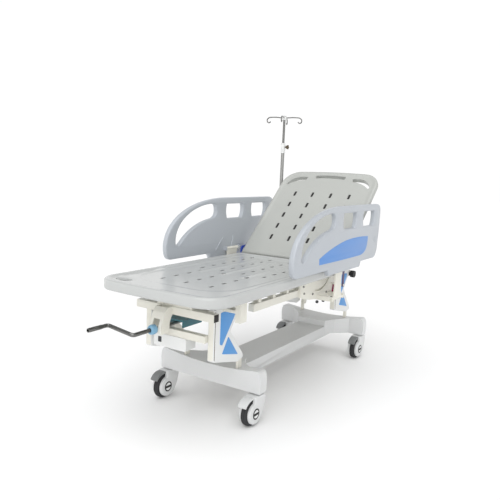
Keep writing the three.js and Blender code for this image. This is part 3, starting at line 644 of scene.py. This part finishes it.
BLUE_PANEL = [(-204, 726), (-206, 757), (-80, 801, 105, 825), (260, 838, 426, 826),
              (424, 770, 404, 752), (378, 727, 320, 724), (100, 722, -204, 726)]
RAIL_RIBS = ([(-40, 700), (-24, 700), (44, 770), (36, 776)], [(120, 700), (132, 700), (150, 770), (140, 776)])
MOUNT_BOLTS = ((-130, 590), (-120, 552), (-20, 534), (150, 520), (262, 590))
MOUNT_ROLLERS = ((30, 484), (108, 478), (215, 476))


def side_rail(side_name, side):
    body = f"side_rail_{side_name}"
    low, high = sorted((side * RAIL_Y[0], side * RAIL_Y[1]))
    parts = [plate("slab", [rail_outline()] + rail_holes(), "XZ", low, high, 6.5, "rail")]
    lug_y = sorted((side * (LINK_Y - 12), side * (RAIL_Y[0] + 4)))
    for x in ((45, 58), (182, 195)):
        parts.append(block("lug", x, lug_y, (693, 717), 2, "rail"))
    rail = joined(f"side_rail_body_{side_name}", parts)
    ride(rail, body, [f"side_rail_{side_name}"])
    face = side * RAIL_Y[1]
    skin = sorted((face - side * 2.5, face + side * 0.9))
    inset = plate(f"rail_inset_{side_name}", [trace(*BLUE_PANEL)], "XZ", *skin, 0.8, "blue")
    ride(inset, body)
    disc = [(-1, 17), (0.6, 17), (1.0, 16.4), (1.0, 13.5), (0.3, 13), (0.3, 0.01)]
    mark = lathe(f"rail_mark_{side_name}", disc, P(545, face, 800), (0, side, 0), "rail", 40)
    ride(mark, body)


def link_web(side_name, side):
    """The swing arm: a waisted web between two knuckles with their pins."""
    web = trace((70, 505), (172, 505), (144, 600, 178, 705), (62, 705), (102, 600, 70, 505))
    y = side * LINK_Y
    parts = [plate("web", [web], "XZ", y - 5, y + 5, 2, "cream")]
    for z in (505, 705):
        knuckle = [(-9, 0.01), (-9, 8), (-8, 9), (108, 9), (109, 8), (109, 0.01)]
        parts.append(lathe("knuckle", knuckle, P(70, y, z), (1, 0, 0), "cream", 28))
        parts.append(lathe("pin", bar_profile(-12, 122, 6), P(64, y, z), (1, 0, 0), "cream", 24))
    link = joined(f"rail_link_arm_{side_name}", parts)
    ride(link, f"rail_link_{side_name}", [f"rail_link_{side_name}"])


def rail_trim(side_name, side):
    """Bolts and rollers on the mounting plate, and the ribs on the rail's inner face."""
    for i, (x, z) in enumerate(MOUNT_BOLTS):
        bolt_piece = bolt(f"mount_bolt_{side_name}_{i}", (x, side * 277, z), (0, side, 0), 5, "zinc")
        ride(bolt_piece, "upper_frame")
    wheel = [(-6, 0.01), (-6, 7), (-5, 8), (5, 8), (6, 7), (6, 0.01)]
    for i, (x, z) in enumerate(MOUNT_ROLLERS):
        roller = lathe(f"mount_roller_{side_name}_{i}", wheel, P(x, side * 282, z), (0, 1, 0), "seam", 24)
        ride(roller, "upper_frame")
    inner = side * RAIL_Y[0]
    rib_y = sorted((inner + side * 3, inner - side * 4))
    for i, loop in enumerate(RAIL_RIBS):
        rib = plate(f"rail_rib_{side_name}_{i}", [soften(loop, 4, 3)], "XZ", *rib_y, 1.5, "rail")
        ride(rib, f"side_rail_{side_name}")


# ---- castors ----------------------------------------------------------------------------
CAP_RING = [(-1, 26), (1.4, 26), (2.2, 25), (2.2, 20.5), (1.0, 19.5), (1.0, 0.01)]
CAP_DISC = [(0.8, 19.4), (1.8, 19), (1.9, 0.01)]
TREAD = [(-13, 44.3), (-15, 50), (-15.2, 56), (-13, 60), (-9, 62), (-6, WHEEL_R), (-5.4, 61), (-4.6, 61),
         (-4, WHEEL_R), (4, WHEEL_R), (4.6, 61), (5.4, 61), (6, WHEEL_R), (9, 62), (13, 60), (15.2, 56),
         (15, 50), (13, 44.3), (-13, 44.3)]
HUB = [(-15, 6.8), (-15, 18), (-9, 22), (-9, 36), (-14, 40), (-14, 43), (-12, 44.2), (12, 44.2),
       (14, 43), (14, 40), (9, 36), (9, 22), (15, 18), (15, 6.8), (-15, 6.8)]


def castor_shroud(tag, x, y):
    wheel_x = x - TRAIL
    rim = arc(wheel_x, WHEEL_R, 50, 100, 268, 30)
    shell = rim + trace(
        rim[-1], (x - 2, 14, x + 12, 42), (x + 34, 74, x + 38, 112), (x + 41, 141, x + 22, 141),
        (x - 38, 141), (x - 51, 141, x - 51, 128),
    )[1:]
    shroud = plate("shroud", [shell], "XZ", y - HUB_FACE, y + HUB_FACE, 6, "base")
    centre = P(wheel_x, y, WHEEL_R)
    cut(shroud, [lathe("room", bar_profile(-17.5, 17.5, 66.5), centre, (0, 1, 0), "base", 64)])
    stem = lathe("stem", bar_profile(-4, 61, 10), P(x, y, 141), (0, 0, 1), "base", 24)
    axle = lathe("axle", bar_profile(-19, 19, 6), centre, (0, 1, 0), "base", 20)
    whole = joined(f"castor_shroud_{tag}", [shroud, stem, axle])
    ride(whole, f"castor_{tag}", [f"castor_housing_{tag}"])


def castor_caps(tag, wheel_x, y, side):
    """A plain ring, disc and bar on each flank of the shroud."""
    for flank, out in (("out", side), ("in", -side)):
        at = P(wheel_x, y + out * HUB_FACE, WHEEL_R)
        ring = lathe(f"castor_cap_{tag}_{flank}", CAP_RING, at, (0, out, 0), "black", 48)
        disc = lathe(f"castor_badge_{tag}_{flank}", CAP_DISC, at, (0, out, 0), "cover", 40)
        bar_y = sorted((y + out * (HUB_FACE + 1), y + out * (HUB_FACE + 2.6)))
        bar_z = (WHEEL_R - 6, WHEEL_R + 6)
        bar = block(f"castor_bar_{tag}_{flank}", (wheel_x - 20, wheel_x + 20), bar_y, bar_z, 0.6, "black")
        ride(bar, f"castor_{tag}")
        ride(ring, f"castor_{tag}")
        ride(disc, f"castor_{tag}")


def castor_pedal(tag, x, y):
    hood = trace(
        (x - 53, 131), (x - 53, 141), (x - 80, 144, x - 98, 133), (x - 112, 124, x - 120, 110),
        (x - 115, 104), (x - 104, 119, x - 86, 126), (x - 70, 131, x - 53, 131),
    )
    # Painted shade: only the near foot hood keeps its light plastic colour; the other hoods get the darker,
    # shaded pedal grey.
    colour = "base" if tag == "foot_near" else "pedal"
    pedal = plate(f"castor_hood_{tag}", [hood], "XZ", y - 22, y + 22, 1.8, colour)
    ride(pedal, f"pedal_{tag}", [f"castor_pedal_{tag}"])


def castor(end, x, side_name, side):
    tag = f"{end}_{side_name}"
    y = side * SWIVEL_Y
    castor_shroud(tag, x, y)
    castor_caps(tag, x - TRAIL, y, side)
    castor_pedal(tag, x, y)
    centre = P(x - TRAIL, y, WHEEL_R)
    tyre = lathe(f"wheel_tyre_{tag}", TREAD, centre, (0, 1, 0), "tyre", 72)
    ride(tyre, f"wheel_{tag}", [f"castor_tyre_{tag}"])
    hub = lathe(f"wheel_hub_{tag}", HUB, centre, (0, 1, 0), "cover", 48)
    ride(hub, f"wheel_{tag}", [f"castor_hub_{tag}"])


# ---- columns ----------------------------------------------------------------------------
def column(end, left, side_name, side):
    node = f"{end}_column_{side_name}"
    outline = [(left, 341), (left + 190, 296), (left + 238, 308), (left + 230, 330), (left + 124, 456),
               (left + 179, 532), (left + 191, 552), (left + 191, 575), (left, 575)]
    low, high = sorted((side * COLUMN_Y[0], side * COLUMN_Y[1]))
    shell = plate("shell", [soften(outline, 9)], "XZ", low, high, 3.5, "cover")
    pin_low, pin_high = sorted((side * 168, side * 139.5))
    pin_at = P(left + 49, pin_low, 540)
    pin = lathe("pin", bar_profile(0, pin_high - pin_low, 8), pin_at, (0, 1, 0), "cover", 24)
    ride(joined(f"{node}_shell", [shell, pin]), "upper_frame", [node])
    face = side * COLUMN_Y[1]
    skin = sorted((face - side * 2, face + side * 0.8))
    upper = [(left + 44, 556), (left + 156, 556), (left + 158, 532), (left + 62, 404), (left + 44, 412)]
    lower = [(left + 108, 436), (left + 190, 333), (left + 62, 364)]
    for i, loop in enumerate((upper, lower)):
        inlay = plate(f"{node}_inlay_{i}", [soften(loop, 7, 4)], "XZ", *skin, 0.7, "panel_blue")
        ride(inlay, "upper_frame")
    groove = [(left + 4, 348), (left + 8, 347), (left + 8, 566), (left + 4, 566)]
    groove_y = sorted((face - side * 2, face + side * 0.4))
    strip = plate(f"{node}_groove", [soften(groove, 1.5, 3)], "XZ", *groove_y, 0.2, "bronze")
    ride(strip, "upper_frame")
    edge_y = sorted((side * (COLUMN_Y[0] + 3), side * (COLUMN_Y[1] - 4)))
    edge = block(f"{node}_edge", (left - 1.4, left + 3), edge_y, (347, 569), 1.2, "cream")
    ride(edge, "upper_frame")


# ---- crank ------------------------------------------------------------------------------
def crank_parts():
    tip = (-1147, 188, 490)
    corners = [(-895, *CRANK_AXIS), (-1037, *CRANK_AXIS), (-1037, 188, 490), tip]
    bar = tube("crank_bar", corners, 9, "chrome", 14, 20)
    barrel = [(0, 0.01), (0, 6), (1.5, 8.6), (7, 9.8), (70, 9.9), (76, 9.2), (76, 8.6)]
    grip = lathe("crank_grip", barrel, P(*tip), (1, 0, 0), "chrome", 28)
    ride(bar, "crank", ["crank_handle"])
    ride(grip, "crank")
    bulb = [(0, 10.4), (0, 14), (3, 18), (8, 21), (14, 22.4), (20, 22.6), (24, 21.6), (26, 21.9),
            (30, 21), (32.6, 18), (32.6, 10.4), (0, 10.4)]
    boot = lathe("crank_boot_bulb", bulb, P(-938, *CRANK_AXIS), (1, 0, 0), "boot", 48)
    ride(boot, "upper_frame", ["crank_boot"])


def foot_end_trim():
    """Feet and a window on the gearbox, and plugs in the ends of the foot beam."""
    cone = [(0, 0.01), (0, 6), (8, 7), (8, 0.01)]
    for i, y in enumerate((-40, 120)):
        foot = lathe(f"gearbox_foot_{i}", cone, P(-780, y, 359), (0, 0, 1), "cover", 20)
        ride(foot, "upper_frame")
    for side_name, side in SIDES.items():
        plug_y = sorted((side * 219, side * 223.5))
        plug = block(f"foot_beam_plug_{side_name}", (-829, -796), plug_y, (531, 564), 1.6, "black")
        ride(plug, "upper_frame")
    pane = soften([(80, 384), (100, 384), (100, 410), (80, 410)], 3, 3)
    window = plate("gearbox_window", [pane], "YZ", -816, -813, 0.4, "seam")
    ride(window, "upper_frame")


# ---- infusion pole ----------------------------------------------------------------------
def pole_parts():
    x, y = POLE
    up = (0, 0, 1)
    stem = [(0, 0.01), (0, 7.6), (2, 8), (655, 8), (655, 0.01)]
    parts = [lathe("rod", stem, P(x, y, 880), up, "steel", 24)]
    hub = [(-16, 0.01), (-16, 10), (-13, 14.5), (9, 14.5), (13, 11), (14, 5), (14, 0.01)]
    parts.append(lathe("hub", hub, P(x, y, HOOK_Z), up, "cover", 32))
    reach = [(10, 0), (60, 4), (104, 2), (120, -12), (117, -30), (104, -36), (94, -26)]
    for i in range(4):
        turn = math.radians(20 + 90 * i)
        points = [(x + r * math.cos(turn), y + r * math.sin(turn), HOOK_Z + z) for r, z in reach]
        parts.append(tube("hook", points, 3.8, "chrome", 14, 12))
    ride(joined("pole_rod_and_hooks", parts, "chrome"), "iv_rod", ["iv_rod"])
    dome = [(-15, 15), (8, 15), (12, 12), (14, 6), (14.2, 0.01)]
    cap = lathe("pole_hub_cap", dome, P(x, y, HOOK_Z), up, "cover", 32)
    ride(cap, "iv_rod")
    collar = [(0, 12), (0, 14.6), (2, 15.4), (66, 15.4), (69, 14.4), (69, 9)]
    sleeve = lathe("pole_sleeve", collar, P(x, y, 1303), up, "cover", 36)
    ride(sleeve, "upper_frame")
    star_knob(x, y - 15.5)


def star_knob(x, y):
    """Five soft lobes on a short stem, facing the platform."""
    bm = bmesh.new()
    count = 60
    rings = []
    for depth, radius in ((12.5, 3), (13.5, 12), (24, 13), (25, 10), (25, 0.01)):
        ring = []
        for k in range(count):
            angle = 2 * math.pi * k / count
            r = radius * (1 + 0.16 * math.cos(5 * angle)) if radius > 4 else radius
            ring.append(bm.verts.new(P(x + r * math.cos(angle), y - depth, KNOB_Z + r * math.sin(angle))))
        rings.append(ring)
    for a, b in zip(rings, rings[1:]):
        for k in range(count):
            bm.faces.new((a[k], a[(k + 1) % count], b[(k + 1) % count], b[k]))
    bm.faces.new(rings[0])
    bmesh.ops.remove_doubles(bm, verts=bm.verts, dist=1e-5)
    star = finish_mesh("star", bm, "bronze", 30)
    stem = lathe("stem", bar_profile(0, 13, 5), P(x, y, KNOB_Z), (0, -1, 0), "cover", 20)
    ride(joined("pole_star_knob", [star, stem]), "iv_knob", ["iv_knob"])


# ---- CAD nodes that stay ----------------------------------------------------------------
KEPT = {
    "base": ["base_cover"],
    "cream": ["chassis_frame", "foot_lift_arms", "head_lift_arms", "side_tube_near", "side_tube_far",
              "foot_upper_beam", "head_upper_beam", "foot_lower_beam", "head_lower_beam",
              "hinge_beam", "deck_frame", "backrest_frame", "rail_mount_near", "rail_mount_far",
              "spare_socket", "iv_socket", "crank_bracket"],
    "cover": ["gearbox_housing"],
    "teal": ["screw_cover"],
    "steel": ["iv_tube", "gas_spring_rod", "lead_screw"],
    "chrome": ["gas_spring_cylinder"],
    "lever_red": ["rail_lever_near", "rail_lever_far"],
    "lever_blue": ["backrest_lever_far"],
    "purple": ["backrest_lever_near"],
    "black": ["head_bumper_near", "head_bumper_far"],
}
ROUNDING = {"base_cover": 7, "gearbox_housing": 5, "crank_bracket": 1.4, "spare_socket": 4, "iv_socket": 4}
FINE_ROUNDING = 1.6


def dress_cad_nodes():
    """Gives every CAD node that stays its material, and rounds its edges."""
    for mat, nodes in KEPT.items():
        for node in nodes:
            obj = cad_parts[node]
            obj.data.materials.clear()
            obj.data.materials.append(MAT[mat])
            flat = obj.modifiers.new("flatten", "DECIMATE")
            flat.decimate_type = "DISSOLVE"
            flat.angle_limit = math.radians(2)
            round_off = obj.modifiers.new("round", "BEVEL")
            round_off.width = ROUNDING.get(node, FINE_ROUNDING) / 1000
            round_off.segments = 3
            round_off.limit_method = "ANGLE"
            round_off.angle_limit = math.radians(35)
            round_off.harden_normals = True
            for face in obj.data.polygons:
                face.use_smooth = True


# ---- stage ------------------------------------------------------------------------------
FLOOR_HALF = 30
HORIZON_LIGHT = 1.02
SKY_LIGHT = 0.34
HORIZON_TOP = 0.3
SKY_START = 0.55
SUNS = [("overhead", (-0.35, -0.1, 1), 2.0, 70), ("front", (-1, -0.6, 0.35), 0.6, 40)]


def studio_floor():
    bm = bmesh.new()
    turns = ((-1, -1), (1, -1), (1, 1), (-1, 1))
    add_mesh(bm, [Vector((a * FLOOR_HALF, b * FLOOR_HALF, 0)) for a, b in turns], [(0, 1, 2, 3)])
    MAT["floor"] = surface("studio_floor", (250, 250, 250), 0.8, mottle=0.004, relief=0.02)
    finish_mesh("floor", bm, "floor")


def studio_world():
    """White round the horizon, so that every side view has a white backdrop, and dimmer above."""
    world = bpy.data.worlds.new("studio")
    world.use_nodes = True
    nodes = world.node_tree.nodes
    links = world.node_tree.links
    coords = nodes.new("ShaderNodeTexCoord")
    direction = nodes.new("ShaderNodeSeparateXYZ")
    links.new(coords.outputs["Generated"], direction.inputs["Vector"])
    fade = nodes.new("ShaderNodeMapRange")
    fade.interpolation_type = "SMOOTHSTEP"
    fade.inputs["From Min"].default_value = HORIZON_TOP
    fade.inputs["From Max"].default_value = SKY_START
    fade.inputs["To Min"].default_value = HORIZON_LIGHT
    fade.inputs["To Max"].default_value = SKY_LIGHT
    links.new(direction.outputs["Z"], fade.inputs["Value"])
    links.new(fade.outputs["Result"], nodes["Background"].inputs["Strength"])
    nodes["Background"].inputs["Color"].default_value = (1, 1, 1, 1)
    bpy.context.scene.world = world


def studio_lights():
    for name, turn, power, spread_deg in SUNS:
        light = bpy.data.lights.new(name, "SUN")
        light.energy = power
        light.angle = math.radians(spread_deg)
        lamp = bpy.data.objects.new(name, light)
        lamp.rotation_euler = Vector(turn).to_track_quat("Z", "Y").to_euler()
        bpy.context.scene.collection.objects.link(lamp)
    bpy.context.scene.view_settings.view_transform = "Standard"


CAMERA_AT = (-2682.7, -1576.9, 1167.8)
CAMERA_TURN = (math.radians(-57.30), math.radians(7.93), 0.0426)
CAMERA_LENS = 40.34


def camera():
    """A camera level with the raised backrest, to the foot end's near side."""
    az, el, roll = CAMERA_TURN
    back = Vector((math.sin(az) * math.cos(el), -math.cos(az) * math.cos(el), math.sin(el)))
    right = Vector((math.cos(az), math.sin(az), 0))
    up = back.cross(right)
    tilted_right = right * math.cos(roll) + up * math.sin(roll)
    tilted_up = up * math.cos(roll) - right * math.sin(roll)
    data = bpy.data.cameras.new("camera")
    data.sensor_width = 36
    data.lens = CAMERA_LENS
    cam = bpy.data.objects.new("camera", data)
    turn = Matrix((tilted_right, tilted_up, back)).transposed().to_4x4()
    cam.matrix_world = Matrix.Translation(P(*CAMERA_AT)) @ turn
    bpy.context.scene.collection.objects.link(cam)
    bpy.context.scene.camera = cam


camera()
studio_floor()
studio_world()
studio_lights()
dress_cad_nodes()
leg_panel()
backrest_panel()
crank_parts()
foot_end_trim()
pole_parts()
for side_name, side in SIDES.items():
    side_rail(side_name, side)
    link_web(side_name, side)
    rail_trim(side_name, side)
    for end, x in ENDS.items():
        castor(end, x, side_name, side)
        column(end, COLUMN_START[end], side_name, side)
